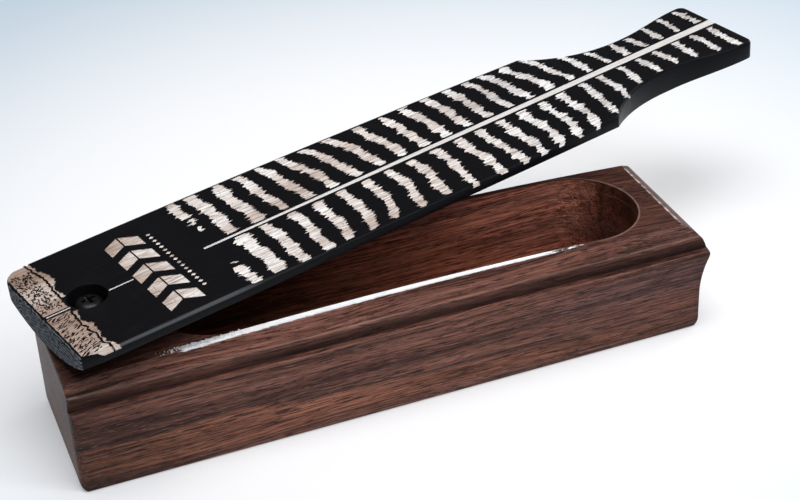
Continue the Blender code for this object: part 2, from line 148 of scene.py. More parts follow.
# Screw
HEAD_BOTTOM = 43.7 * MM
HEAD_HEIGHT = 2.6 * MM
HEAD_RADIUS = 4.1 * MM
HEAD_EDGE = 0.15 * MM
DOME_DROP = 1.8 * MM
DOME_POWER = 0.72  # how full the dome is
SCREW_RADIUS = 2.05 * MM
SHANK_LENGTH = 10 * MM
THREAD_START = 10.3 * MM
THREAD_ROOT = 1.5 * MM
THREAD_PITCH = 1.7 * MM
THREAD_TURNS = 9
THREAD_FLATS = (0.6, 0.94, 1.45, 1.6)  # root and crest of a turn, in millimetres down from its top
POINT_START = 26.5 * MM
SCREW_LENGTH = 30 * MM
CROSS_HALF = 2.15 * MM
CROSS_WIDTH = 1.0 * MM
CROSS_LIP = 0.5 * MM  # depth at its outer ends
CROSS_DEPTH = 1.75 * MM
CROSS_TURN = 20  # degrees

# Chalk crumbs, in millimetres
CRUMB_COUNT = 260
CRUMB_LINE = -19.0
CRUMB_START = (-69, -44, -58)  # least, most and likeliest place along it
CRUMB_RUN = (-58, 40)  # where the rest lie

# Floor, in millimetres
FLOOR_CENTRE = (30, 50, 0)
FLOOR_PALE = (92, 300)  # white to pale blue
FLOOR_HORIZON = (450, 1100)  # and on to the backdrop's colour

ALONG_X = Matrix(((0, 0, 1), (1, 0, 0), (0, 1, 0))).to_4x4()
ALONG_Y = Matrix(((1, 0, 0), (0, 0, -1), (0, 1, 0))).to_4x4()
ALONG_Z = Matrix.Identity(4)
PAST = 5 * MM  # how far a cutter runs past what it cuts
ENGRAVED = 0.16 * MM
LID_FRAME = Matrix.Translation(PIVOT) @ Matrix.Rotation(SWING, 4, "Z") @ Matrix.Rotation(-RISE, 4, "Y")

scene = bpy.context.scene


# ---------------------------------------------------------------- camera, floor and light

def place_camera():
    down = math.radians(CAMERA_DOWN)
    yaw = math.radians(CAMERA_YAW)
    roll = math.radians(CAMERA_ROLL)
    level = Vector((-math.sin(yaw), math.cos(yaw), 0))
    ahead = level * math.cos(down) - Vector((0, 0, 1)) * math.sin(down)
    right = level.cross(Vector((0, 0, 1)))
    up = right.cross(ahead)
    right, up = right * math.cos(roll) + up * math.sin(roll), up * math.cos(roll) - right * math.sin(roll)
    data = bpy.data.cameras.new("camera")
    data.lens = CAMERA_LENS
    data.clip_start = 0.01
    camera = bpy.data.objects.new("camera", data)
    turn = Matrix((right, up, -ahead)).transposed()
    camera.matrix_world = Matrix.Translation(CAMERA_PLACE) @ turn.to_4x4()
    scene.collection.objects.link(camera)
    scene.camera = camera


def area_light(name, place, target, size, power):
    data = bpy.data.lights.new(name, "AREA")
    data.shape = "RECTANGLE"
    data.size, data.size_y = size
    data.energy = power
    light = bpy.data.objects.new(name, data)
    light.location = place
    light.rotation_euler = (Vector(target) - Vector(place)).to_track_quat("-Z", "Y").to_euler()
    scene.collection.objects.link(light)


def light_scene():
    """A dim sky that lights the object, a pale backdrop behind it, and four area lights."""
    world = bpy.data.worlds.new("studio")
    world.use_nodes = True
    tree = world.node_tree
    sky = tree.nodes["Background"]
    sky.inputs["Color"].default_value = (0.95, 0.97, 1.0, 1)
    sky.inputs["Strength"].default_value = 0.14
    backdrop = tree.nodes.new("ShaderNodeBackground")
    backdrop.inputs["Color"].default_value = (0.56, 0.645, 0.73, 1)
    rays = tree.nodes.new("ShaderNodeLightPath")
    blend = tree.nodes.new("ShaderNodeMixShader")
    tree.links.new(rays.outputs["Is Camera Ray"], blend.inputs["Fac"])
    tree.links.new(sky.outputs["Background"], blend.inputs[1])
    tree.links.new(backdrop.outputs["Background"], blend.inputs[2])
    tree.links.new(blend.outputs["Shader"], tree.nodes["World Output"].inputs["Surface"])
    scene.world = world
    scene.view_settings.view_transform = "Standard"
    area_light("overhead", (-0.02, -0.05, 1.0), (0, 0, 0), (0.8, 0.6), 7.6)
    area_light("front", (0.3, -0.7, 1.0), (0, 0, 0.02), (0.9, 0.7), 4.4)
    area_light("chamfer_strip", (0.42, -0.36, 0.6), (-0.06, 0, 0.05), (0.12, 0.3), 0.8)
    area_light("right_rim", (0.75, 0.35, 0.3), (0.09, 0, 0.03), (0.3, 0.5), 1.6)


# ---------------------------------------------------------------- node materials

class Look:
    """A material built from nodes, with its pattern space in millimetres."""

    def __init__(self, name, space=None):
        self.mat = bpy.data.materials.new(name)
        self.mat.use_nodes = True
        self.tree = self.mat.node_tree
        self.shader = self.tree.nodes["Principled BSDF"]
        coordinates = self.node("TexCoord")
        place = coordinates.outputs["Object"]
        if space is not None:
            inverse = space.inverted()
            mapping = self.node("Mapping")
            mapping.inputs["Location"].default_value = inverse.translation
            mapping.inputs["Rotation"].default_value = inverse.to_euler("XYZ")
            self.put(mapping.inputs["Vector"], place)
            place = mapping.outputs["Vector"]
        self.place = self.vector("SCALE", place, None, 1000.0)

    def node(self, kind):
        return self.tree.nodes.new("ShaderNode" + kind)

    def put(self, socket, value):
        if isinstance(value, bpy.types.NodeSocket):
            self.tree.links.new(value, socket)
        else:
            if hasattr(socket.default_value, "__len__") and not hasattr(value, "__len__"):
                value = [value] * len(socket.default_value)
            if hasattr(value, "__len__") and len(socket.default_value) == 4 and len(value) == 3:
                value = (*value, 1)
            socket.default_value = value

    def vector(self, operation, a, b=None, scale=None):
        node = self.node("VectorMath")
        node.operation = operation
        self.put(node.inputs[0], a)
        if b is not None:
            self.put(node.inputs[1], b)
        if scale is not None:
            self.put(node.inputs["Scale"], scale)
        return node.outputs["Value" if operation == "LENGTH" else "Vector"]

    def math(self, operation, a, b=None, clamp=False):
        node = self.node("Math")
        node.operation = operation
        node.use_clamp = clamp
        self.put(node.inputs[0], a)
        if b is not None:
            self.put(node.inputs[1], b)
        return node.outputs["Value"]

    def times(self, first, *others):
        """The product of several values or masks."""
        for other in others:
            first = self.math("MULTIPLY", first, other)
        return first

    def plus(self, a, b):
        return self.math("ADD", a, b)

    def minus(self, a, b):
        return self.math("SUBTRACT", a, b)

    def split(self, vector):
        node = self.node("SeparateXYZ")
        self.put(node.inputs[0], vector)
        return node.outputs["X"], node.outputs["Y"], node.outputs["Z"]

    def noise(self, scales, detail=2.0, roughness=0.5, offset=(0, 0, 0), distortion=0.0, place=None):
        """Noise with the scales as features per millimetre along X, Y and Z."""
        spread = self.vector("MULTIPLY", self.place if place is None else place, scales)
        moved = self.vector("ADD", spread, offset)
        node = self.node("TexNoise")
        node.inputs["Scale"].default_value = 1.0
        node.inputs["Detail"].default_value = detail
        node.inputs["Roughness"].default_value = roughness
        node.inputs["Distortion"].default_value = distortion
        self.put(node.inputs["Vector"], moved)
        return node

    def fac(self, *args, **kwargs):
        return self.noise(*args, **kwargs).outputs["Fac"]

    def warp(self, scales, reach, offset=(0, 0, 0)):
        """The pattern space, pushed about by slow noise."""
        colour = self.noise(scales, 1.0, offset=offset).outputs["Color"]
        push = self.vector("MULTIPLY", self.vector("SUBTRACT", colour, (0.5, 0.5, 0.5)), reach)
        return self.vector("ADD", self.place, push)

    def step(self, value, low, high):
        """Smoothly from 0 at low to 1 at high. low may be above high."""
        node = self.node("MapRange")
        node.interpolation_type = "SMOOTHSTEP"
        self.put(node.inputs["Value"], value)
        flip = low > high
        node.inputs["From Min"].default_value = min(low, high)
        node.inputs["From Max"].default_value = max(low, high)
        node.inputs["To Min"].default_value = 1.0 if flip else 0.0
        node.inputs["To Max"].default_value = 0.0 if flip else 1.0
        return node.outputs["Result"]

    def between(self, value, rise, fall):
        """A mask with two sides. Each pair says where it is 0 and where it is 1."""
        return self.times(self.step(value, *rise), self.step(value, *fall))

    def span(self, value, low, high):
        """Low where the value is 0, and high where it is 1."""
        node = self.node("MapRange")
        self.put(node.inputs["Value"], value)
        node.inputs["To Min"].default_value = low
        node.inputs["To Max"].default_value = high
        return node.outputs["Result"]

    def ramp(self, value, stops):
        node = self.node("ValToRGB")
        elements = node.color_ramp.elements
        stops = list(stops)
        while len(elements) < len(stops):
            elements.new(0.5)
        for element, (where, colour) in zip(elements, stops):
            element.position = where
            element.color = (*colour, 1)
        self.put(node.inputs["Fac"], value)
        return node.outputs["Color"]

    def mix(self, amount, a, b, blend="MIX"):
        node = self.node("Mix")
        node.data_type = "RGBA"
        node.blend_type = blend
        self.put(node.inputs["Factor"], amount)
        colour_a, colour_b = node.inputs[6:8]
        self.put(colour_a, a)
        self.put(colour_b, b)
        return node.outputs[2]

    def bump(self, height, depth, strength):
        node = self.node("Bump")
        node.inputs["Strength"].default_value = strength
        node.inputs["Distance"].default_value = depth
        self.put(node.inputs["Height"], height)
        return node.outputs["Normal"]

    def set(self, **values):
        """Plug values into the shader by their short names, and give the material back."""
        names = {"colour": "Base Color", "roughness": "Roughness", "metallic": "Metallic",
                 "normal": "Normal", "specular": "Specular IOR Level", "glow": "Emission Color"}
        for key, value in values.items():
            self.put(self.shader.inputs[names[key]], value)
        return self.mat


def walnut_material():
    """Oiled black walnut: grain along X, raw wood in the chamber, painted shade at the ends, in the chamber
    and in the side grooves, painted highlights on edges, and chalk on the near lip.
    """
    look = Look("oiled_walnut")
    place = look.warp((0.013, 0.035, 0.035), (0, 5, 5))
    colour = walnut_bands_and_end_shade(look, place)
    colour, streak, pore = walnut_grain(look, place, colour)
    colour = chamber_tone_and_shade(look, colour)
    colour = groove_shade_and_edge_highlights(look, colour)
    colour, chalk, crumble = chalk_and_dust(look, colour)
    height = look.minus(look.times(streak, 0.5), look.times(pore, 0.6))
    height = look.plus(height, look.times(chalk, crumble, 1.6))
    rough = look.plus(look.span(streak, 0.34, 0.56), look.times(chalk, 0.4))
    return look.set(colour=colour, roughness=rough, specular=0.16, normal=look.bump(height, 0.14 * MM, 0.8))


def walnut_bands_and_end_shade(look, place):
    """Slow bands of brown, with lighter and darker stretches, and painted shade at both ends and the nose."""
    x, _, z = look.split(look.place)
    bands = look.fac((0.007, 0.085, 0.15), 3.0, 0.55, place=place)
    colour = look.ramp(bands, [
        (0.30, (0.072, 0.028, 0.021)), (0.42, (0.130, 0.054, 0.040)), (0.50, (0.215, 0.090, 0.066)),
        (0.60, (0.165, 0.076, 0.061)), (0.70, (0.275, 0.112, 0.073))])

    # a tan band low on the sides, under a dark ring that rises and falls along the box
    ring_height = 9.6
    ring_slope = -0.048
    ring_swell = 2.6
    swell = look.between(x, (-80.0, -48.0), (-22.0, -48.0))
    ring = look.plus(look.times(x, ring_slope), look.times(swell, ring_swell))
    ring = look.minus(look.split(place)[2], look.plus(ring, ring_height))
    tan = look.times(look.step(ring, 0.6, -0.8), look.step(z, 1.5, 5.0), 0.65)
    colour = look.mix(tan, colour, (0.255, 0.098, 0.056))
    line = look.times(look.between(ring, (-0.6, 0.4), (2.4, 0.6)), 0.40)
    colour = look.mix(line, colour, (0.060, 0.029, 0.024))

    # painted shade: both ends are darker than the middle, and the nose is darkest
    shade = look.mix(look.step(x, -50.0, -98.0), (0.99, 0.97, 0.96), (0.50, 0.47, 0.45))
    shade = look.mix(look.step(x, 10.0, 82.0), shade, (0.66, 0.60, 0.58))
    shade = look.mix(look.step(x, 91.5, 94.5), shade, (0.48, 0.43, 0.41))
    colour = look.mix(1.0, colour, shade, "MULTIPLY")
    mauve = look.times(look.step(x, 25.0, 70.0), look.between(z, (12.0, 17.0), (25.5, 22.0)), 0.5)
    return look.mix(mauve, colour, (0.115, 0.060, 0.058))


def walnut_grain(look, place, colour):
    """Fine streaks, pores as dark dashes, and pale flecks."""
    streak = look.fac((0.020, 1.2, 1.35), 6.0, 0.70, (3, 1, 7), place=place)
    colour = look.mix(0.95, colour, look.ramp(streak, [
        (0.36, (0.18, 0.15, 0.14)), (0.45, (0.66, 0.63, 0.61)), (0.53, (1.05, 1.04, 1.03)),
        (0.66, (1.75, 1.74, 1.74))]), "MULTIPLY")
    pores = look.fac((0.15, 3.3, 3.5), 3.0, 0.62, (11, 0, 5), place=place)
    density = look.fac((0.008, 0.14, 0.22), 2.0, offset=(0, 9, 2), place=place)
    pore = look.step(look.plus(pores, look.span(density, -0.08, 0.08)), 0.545, 0.59)
    colour = look.mix(look.times(pore, 0.88), colour, (0.014, 0.006, 0.005))
    fleck = look.step(look.fac((0.22, 3.6, 3.6), 2.0, 0.5, (1, 7, 9), place=place), 0.59, 0.69)
    colour = look.mix(look.times(fleck, 0.35), colour, (0.34, 0.20, 0.16))
    return colour, streak, pore


def below_crest(look):
    """Depth under the lips' arch, in millimetres."""
    x, _, z = look.split(look.place)
    drop = look.times(x, x, MM / (2 * LIP_ARCH_RADIUS))
    return look.minus(look.minus(CREST_HEIGHT / MM, drop), z)


def chamber_tone_and_shade(look, colour):
    """Raw milled wood in the chamber, with painted light and shade: a painted shadow of the lid, painted
    shade low down and on the round end wall, and walls paler and warmer towards the open end, partly raw
    wood's tan and partly painted light.
    """
    x, y, z = look.split(look.place)
    wall = CHAMBER_HALF_WIDTH / MM
    end = CHAMBER_END_X / MM + wall
    inside = look.times(
        look.step(look.math("ABSOLUTE", y), wall + 0.3, wall + 0.05), look.step(below_crest(look), 0.25, 0.6),
        look.between(x, (-68.0, -67.0), (end + 0.5, end + 0.2)))
    # painted shadow of the lid towards the pivot end; paler towards the open end, partly raw wood's tan and
    # partly painted light
    raw_tone_and_shade = look.mix(look.step(x, -50.0, 40.0), (0.44, 0.36, 0.29), (2.15, 1.85, 1.60))
    raw_tone_and_shade = look.mix(look.step(x, 26.0, 52.0), raw_tone_and_shade, (3.0, 2.75, 2.50))
    # painted shade low in the chamber, painted light high on its walls
    low = look.mix(1.0, raw_tone_and_shade, (0.80, 0.76, 0.72), "MULTIPLY")
    high = look.mix(1.0, raw_tone_and_shade, (1.45, 1.55, 1.60), "MULTIPLY")
    raw_tone_and_shade = look.mix(look.step(z, 18.0, 33.0), low, high)
    # painted shade on the round end wall
    raw_tone_and_shade = look.mix(look.step(x, 72.0, 82.0), raw_tone_and_shade, (1.0, 0.85, 0.72))
    return look.mix(inside, colour, look.mix(1.0, colour, raw_tone_and_shade, "MULTIPLY"))


def groove_shade_and_edge_highlights(look, colour):
    """Painted shade in the side grooves, a darker top, and painted highlights on the ledge, shoulder, mouth
    and rim.
    """
    x, y, z = look.split(look.place)
    outward = look.math("ABSOLUTE", y)
    below = below_crest(look)
    patchiness = look.fac((0.05, 0.5, 0.5), 4.0, 0.6, (2, 6, 3))
    # painted shade in the cove under the lip's shoulder, broken up by noise
    groove = look.times(
        look.between(z, (26.3, 26.48), (31.2, 26.9)), look.between(outward, (20.6, 20.8), (23.15, 22.7)))
    groove = look.times(groove, look.span(patchiness, 0.60, 1.0))
    colour = look.mix(groove, colour, (0.022, 0.009, 0.007))
    top = look.times(look.step(below, 0.4, 0.2), look.step(x, 50.0, 70.0))
    colour = look.mix(top, colour, look.mix(1.0, colour, (0.66, 0.60, 0.56), "MULTIPLY"))

    # painted highlights along the arrises of the ledge and the shoulder, broken up by noise
    ledge = look.times(look.between(z, (25.7, 26.1), (26.9, 26.6)), look.step(outward, 22.8, 23.1))
    shoulder = look.between(z, (31.3, 31.6), (32.1, 31.8))
    pale_marks = look.times(look.plus(ledge, shoulder), look.span(patchiness, -0.2, 0.9))
    # painted highlight round the chamber's mouth at its round end
    from_end = look.vector("SUBTRACT", look.place, (CHAMBER_END_X / MM, 0, 0))
    reach = look.vector("LENGTH", look.vector("MULTIPLY", from_end, (1, 1, 0)))
    off_mouth = look.math("ABSOLUTE", look.minus(reach, CHAMBER_HALF_WIDTH / MM + 0.25))
    mouth = look.times(
        look.step(off_mouth, 0.4, 0.12), look.step(below, 0.5, 0.3), look.step(x, 60.0, 68.0), 0.6)
    pale_marks = look.math("ADD", pale_marks, mouth, clamp=True)
    colour = look.mix(look.times(pale_marks, 0.55), colour, (0.40, 0.27, 0.22))
    # painted highlight along the nose's crease
    rim = look.times(look.between(x, (89.9, 90.3), (91.2, 90.7)), look.step(outward, 19.4, 18.8))
    rim = look.times(rim, look.step(patchiness, 0.40, 0.62))
    return look.mix(rim, colour, (0.60, 0.52, 0.47))


def chalk_and_dust(look, colour):
    """Chalk on the crest of the near lip, and a little dust on the far wall under its lip."""
    x, y, _ = look.split(look.place)
    below = below_crest(look)
    crumble = look.fac((0.5, 1.5, 1.5), 4.0, 0.75, (5, 5, 5))
    width = look.math("MAXIMUM", look.minus(0.48, look.times(x, 0.0055)), 0.2)
    ratio = look.plus(look.math("DIVIDE", below, width), look.span(crumble, -0.55, 0.55))
    lip = look.between(y, (-20.9, -20.6), (-18.2, -18.4))
    ends = look.between(x, (-68.0, -57.0), (78.0, 25.0))
    lumps = look.fac((0.22, 0.8, 0.8), 5.0, 0.8, (2, 8, 5))
    spread = look.plus(look.times(ends, 1.2), look.span(lumps, -1.35, 0.9))
    chalk = look.times(lip, look.step(ratio, 1.0, 0.55), look.step(spread, 0.34, 0.44))
    specks = look.step(look.fac((0.25, 1.0, 0.8), 4.0, 0.7, (8, 2, 6)), 0.42, 0.66)
    dust = look.times(
        look.step(y, 17.9, 18.2), look.step(below, 10.0, 1.0), look.between(x, (-5.0, 12.0), (48.0, 26.0)),
        specks, 0.45)
    colour = look.mix(dust, colour, (0.30, 0.27, 0.25))
    return look.mix(chalk, colour, (0.95, 0.95, 0.96)), chalk, crumble


def lacquer_material():
    """Satin black lacquer: fine hairlines along the lid, coarse end grain at the pivot end with painted sheen
    on its ridges, and a painted highlight along the near top edge.
    """
    look = Look("satin_black_lacquer", LID_FRAME)
    x, y, z = look.split(look.place)
    hair = look.fac((0.05, 5.0, 5.0), 3.0, 0.6)
    pores = look.step(look.fac((0.14, 1.9, 1.9), 3.0, 0.6, (2, 4, 4)), 0.56, 0.70)
    smudge = look.fac((0.03, 0.03, 0.03), 3.0, 0.5, (4, 4, 1))
    speck = look.step(look.fac((0.9, 0.9, 0.9), 3.0, 0.7, (7, 3, 1)), 0.70, 0.78)
    colour = look.ramp(hair, [(0.3, (0.0022, 0.0022, 0.0032)), (0.7, (0.0046, 0.0046, 0.0062))])
    colour = look.mix(look.times(speck, 0.2), colour, (0.05, 0.05, 0.055))

    # growth rings and open pores where the lacquer lies on end grain; the light grey on the ridges is painted
    # sheen
    end = look.step(x, -13.9, -14.2)
    wobble = look.warp((0.15, 0.15, 0.15), (0, 1.6, 1.6))
    flattened = look.vector("MULTIPLY", wobble, (0, 0.16, 1.0))
    ring_radius = look.vector("LENGTH", look.vector("ADD", flattened, (0, 0, 30.0)))
    rings = look.math("SINE", look.times(ring_radius, 5.5))
    pits = look.fac((0.5, 0.8, 2.2), 4.0, 0.7, (4, 1, 2))
    coarse = look.plus(look.times(rings, 0.07), pits)
    end_grain_and_sheen = look.ramp(coarse, [
        (0.41, (0.001, 0.001, 0.002)), (0.48, (0.016, 0.017, 0.020)), (0.56, (0.200, 0.205, 0.220))])
    colour = look.mix(end, colour, end_grain_and_sheen)

    # painted highlight along the near side's top edge, beside the marks
    top = TOP / MM
    edge = look.times(look.step(y, -24.9, -25.4), look.step(z, top - 0.75, top - 0.40))
    edge = look.times(edge, look.between(x, (-9.0, -4.0), (44.0, 30.0)), look.span(hair, 0.0, 1.2))
    colour = look.mix(edge, colour, (0.085, 0.09, 0.10))
    rough = look.plus(look.span(smudge, 0.30, 0.46), look.times(pores, 0.12))
    rough = look.math("MAXIMUM", rough, look.times(end, 0.92))
    height = look.plus(look.times(hair, 0.35), look.times(pores, -0.8))
    height = look.plus(height, look.times(coarse, end, 5.0))
    return look.set(colour=colour, roughness=rough, specular=0.1, normal=look.bump(height, 0.05 * MM, 0.6))


def bare_wood_material():
    """Pale wood laid open by engraving: warm at the pivot end, and nearly white on the handle."""
    look = Look("bare_engraved_wood", LID_FRAME)
    x, _, _ = look.split(look.place)
    place = look.warp((0.03, 0.08, 0.08), (0, 3, 0))
    tone = look.fac((0.02, 0.14, 0.14), 3.0, 0.5, place=place)
    where = (0.34, 0.5, 0.66)
    warm = look.ramp(tone, zip(where, ((0.30, 0.21, 0.16), (0.40, 0.30, 0.25), (0.56, 0.48, 0.43))))
    body = look.ramp(tone, zip(where, ((0.50, 0.41, 0.36), (0.70, 0.64, 0.61), (0.86, 0.84, 0.83))))
    pale = look.ramp(tone, zip(where, ((0.58, 0.56, 0.56), (0.72, 0.71, 0.71), (0.86, 0.86, 0.87))))
    colour = look.mix(look.step(x, 30.0, 10.0), body, warm)
    colour = look.mix(look.step(x, 110.0, 160.0), colour, pale)
    grain = look.fac((0.16, 2.4, 2.4), 4.0, 0.66, (6, 1, 1), place=place)
    colour = look.mix(0.9, colour, look.ramp(grain, [
        (0.36, (0.34, 0.27, 0.23)), (0.48, (0.86, 0.83, 0.81)), (0.62, (1.15, 1.15, 1.15))]), "MULTIPLY")
    burn = look.step(look.fac((0.9, 0.55, 1.0), 4.0, 0.7, (3, 9, 2)), 0.61, 0.70)
    colour = look.mix(look.times(burn, 0.6), colour, (0.14, 0.08, 0.06))
    height = look.minus(grain, look.times(burn, 0.7))
    rough = look.span(grain, 0.62, 0.86)
    return look.set(colour=colour, roughness=rough, normal=look.bump(height, 0.09 * MM, 0.6))


def quill_material():
    """The central line: a paler, smoother fill than the bars."""
    look = Look("pale_quill_line", LID_FRAME)
    fibre = look.fac((0.12, 4.0, 4.0), 4.0, 0.6)
    colour = look.ramp(fibre, [
        (0.3, (0.56, 0.53, 0.52)), (0.6, (0.72, 0.70, 0.69)), (0.8, (0.80, 0.79, 0.78))])
    rough = look.span(fibre, 0.5, 0.72)
    return look.set(colour=colour, roughness=rough, normal=look.bump(fibre, 0.04 * MM, 0.5))


def black_steel_material():
    look = Look("black_oxide_steel")
    scuff = look.fac((1.2, 1.2, 1.2), 4.0, 0.6)
    pale_marks = look.step(look.fac((0.8, 0.8, 0.8), 5.0, 0.7, (2, 2, 8)), 0.60, 0.74)
    colour = look.mix(look.times(pale_marks, 0.25), (0.014, 0.014, 0.015), (0.20, 0.20, 0.21))
    return look.set(colour=colour, metallic=0.75, roughness=look.span(scuff, 0.22, 0.46),
                    normal=look.bump(scuff, 0.03 * MM, 0.5))


def steel_material(name, bright, rough):
    look = Look(name)
    brushed = look.fac((4.0, 4.0, 0.6), 4.0, 0.6)
    stain = look.step(look.fac((0.6, 0.6, 0.6), 4.0, 0.6, (3, 3, 3)), 0.52, 0.72)
    colour = look.mix(look.times(stain, 0.4), (bright, bright, bright * 1.03),
                      (bright * 0.55, bright * 0.52, bright * 0.48))
    return look.set(colour=colour, metallic=1.0, roughness=look.span(brushed, rough - 0.08, rough + 0.12),
                    normal=look.bump(brushed, 0.03 * MM, 0.4))


def chalk_material():
    look = Look("chalk_crumbs")
    grit = look.fac((2.5, 2.5, 2.5), 4.0, 0.7)
    colour = look.ramp(grit, [(0.3, (0.62, 0.62, 0.64)), (0.7, (0.86, 0.87, 0.88))])
    rough = look.span(grit, 0.8, 0.95)
    return look.set(colour=colour, roughness=rough, normal=look.bump(grit, 0.1 * MM, 0.8))


def floor_material():
    """Matt studio paper that glows, as painted light: white under the object, pale blue round it, and the
    backdrop's colour far off.
    """
    look = Look("studio_paper")
    far = look.vector("LENGTH", look.vector("SUBTRACT", look.place, FLOOR_CENTRE))
    fibre = look.fac((0.5, 0.5, 0.5), 5.0, 0.6)
    rim = look.step(far, *FLOOR_PALE)
    colour = look.ramp(rim, [(0.0, (0.67, 0.67, 0.68)), (1.0, (0.405, 0.475, 0.545))])
    colour = look.mix(0.03, colour, look.ramp(fibre, [(0.3, (0.7, 0.7, 0.7)), (0.7, (1, 1, 1))]), "MULTIPLY")
    # painted light: the floor glows, brightest under the object
    glow = look.ramp(rim, [(0.0, (0.285, 0.287, 0.295)), (1.0, (0.16, 0.20, 0.235))])
    glow = look.mix(look.step(far, *FLOOR_HORIZON), glow, (0.51, 0.59, 0.67))
    look.shader.inputs["Emission Strength"].default_value = 1.0
    return look.set(colour=colour, roughness=0.9, specular=0.1, glow=glow,
                    normal=look.bump(fibre, 0.05 * MM, 0.3))


# ---------------------------------------------------------------- shape helpers

def arc(a, b, radius, start, end, steps):
    """Points round a circle's centre from one angle to another, in degrees."""
    points = []
    for i in range(steps + 1):
        angle = math.radians(start + (end - start) * i / steps)
        points.append((a + radius * math.cos(angle), b + radius * math.sin(angle)))
    return points


def prism(name, points, depth, turn=ALONG_Z, centre=Vector()):
    """A flat outline extruded to a depth about its plane, with its turn in the mesh."""
    bm = bmesh.new()
    low = [bm.verts.new((a, b, -depth / 2)) for a, b in points]
    high = [bm.verts.new((a, b, depth / 2)) for a, b in points]
    bm.faces.new(list(reversed(low)))
    bm.faces.new(high)
    for i in range(len(points)):
        j = (i + 1) % len(points)
        bm.faces.new((low[i], low[j], high[j], high[i]))
    bmesh.ops.recalc_face_normals(bm, faces=bm.faces)
    obj = finished(bm, name)
    obj.data.transform(Matrix.Translation(centre) @ turn)
    return obj


def finished(bm, name, *materials):
    """Turn a bmesh into an object of the scene."""
    mesh = bpy.data.meshes.new(name)
    bm.to_mesh(mesh)
    bm.free()
    for mat in materials:
        mesh.materials.append(mat)
    obj = bpy.data.objects.new(name, mesh)
    scene.collection.objects.link(obj)
    return obj


def dress(obj, *materials):
    """Give an object these materials. Every face takes the first."""
    obj.data.materials.clear()
    for mat in materials:
        obj.data.materials.append(mat)


def turned(name, profile, steps, centre=Vector()):
    """(radius, height) points from the axis round to the axis, spun about Z."""
    bm = bmesh.new()
    rings = []
    for radius, height in profile:
        if radius == 0:
            rings.append([bm.verts.new((0, 0, height))])
        else:
            rings.append([bm.verts.new((radius * math.cos(math.tau * k / steps),
                                        radius * math.sin(math.tau * k / steps), height))
                          for k in range(steps)])
    for upper, lower in zip(rings, rings[1:]):
        for k in range(steps):
            m = (k + 1) % steps
            corners = [upper[k % len(upper)], lower[k % len(lower)]]
            corners += [lower[m % len(lower)], upper[m % len(upper)]]
            unique = list(dict.fromkeys(corners))
            if len(unique) > 2:
                bm.faces.new(unique)
    bmesh.ops.recalc_face_normals(bm, faces=bm.faces)
    obj = finished(bm, name)
    obj.data.transform(Matrix.Translation(centre))
    return obj


def post(name, radius, bottom, top, steps=96, centre=Vector()):
    return turned(name, [(0, top), (radius, top), (radius, bottom), (0, bottom)], steps, centre)


def bevel_rim(obj, height, size, segments):
    """Round or chamfer the sharp edges that lie at one height."""
    bm = bmesh.new()
    bm.from_mesh(obj.data)
    rim = [e for e in bm.edges if all(abs(v.co.z - height) < 1e-6 for v in e.verts)
           and e.calc_face_angle() > SHARP]
    bmesh.ops.bevel(bm, geom=rim, offset=size, segments=segments, profile=0.5, affect="EDGES")
    bm.to_mesh(obj.data)
    bm.free()


def carve(obj, cutter, operation="DIFFERENCE", transfer=False):
    """Apply one Boolean and remove the cutter. Transfer keeps the cutter's materials on its cuts."""
    modifier = obj.modifiers.new("carve", "BOOLEAN")
    modifier.operation = operation
    modifier.solver = "EXACT"
    modifier.object = cutter
    if transfer:
        modifier.material_mode = "TRANSFER"
    apply_modifiers(obj)
    bpy.data.objects.remove(cutter, do_unlink=True)


def apply_modifiers(obj):
    bpy.context.view_layer.update()
    evaluated = obj.evaluated_get(bpy.context.evaluated_depsgraph_get())
    mesh = bpy.data.meshes.new_from_object(evaluated)
    obj.modifiers.clear()
    obj.data = mesh


def soften(obj, width, angle=SHARP):
    modifier = obj.modifiers.new("arris", "BEVEL")
    modifier.limit_method = "ANGLE"
    modifier.angle_limit = angle
    modifier.width = width
    modifier.segments = 2
    modifier.use_clamp_overlap = True
    modifier.miter_outer = "MITER_ARC"
    apply_modifiers(obj)


def smooth(obj):
    obj.data.shade_smooth()
    obj.data.set_sharp_from_angle(angle=SHARP)


# ---------------------------------------------------------------- sound box

def crest_height(x):
    return CREST_HEIGHT - LIP_ARCH_RADIUS + math.sqrt(LIP_ARCH_RADIUS ** 2 - x * x)


def crest_half(x):
    past = max(0.0, x - CREST_TAPER_START)
    return CREST_HALF_WIDTH - CREST_TAPER * (past / (BOX_LENGTH / 2 - CREST_TAPER_START)) ** 2


def half_section():
    """Right half of the box's cross-section, from the bottom edge up to the lip."""
    side = BOX_WIDTH / 2
    points = arc(side - BOTTOM_EDGE_RADIUS, BOTTOM_EDGE_RADIUS, BOTTOM_EDGE_RADIUS, -90, 0, 6)
    points += arc(side - LEDGE_RADIUS, SIDE_HEIGHT - LEDGE_RADIUS, LEDGE_RADIUS, 0, 75, 4)
    foot = math.degrees(math.asin(-GROOVE_FOOT / GROOVE_RADIUS))
    points += arc(side + GROOVE_CENTRE_OUT, GROOVE_HEIGHT, GROOVE_RADIUS, 180 - foot, GROOVE_END, 12)
    points += arc(side - SHOULDER_CENTRE_IN, SHOULDER_HEIGHT, SHOULDER_RADIUS, *SHOULDER_ANGLES, 8)
    points.append((CREST_HALF_WIDTH, CREST_HEIGHT))
    return points


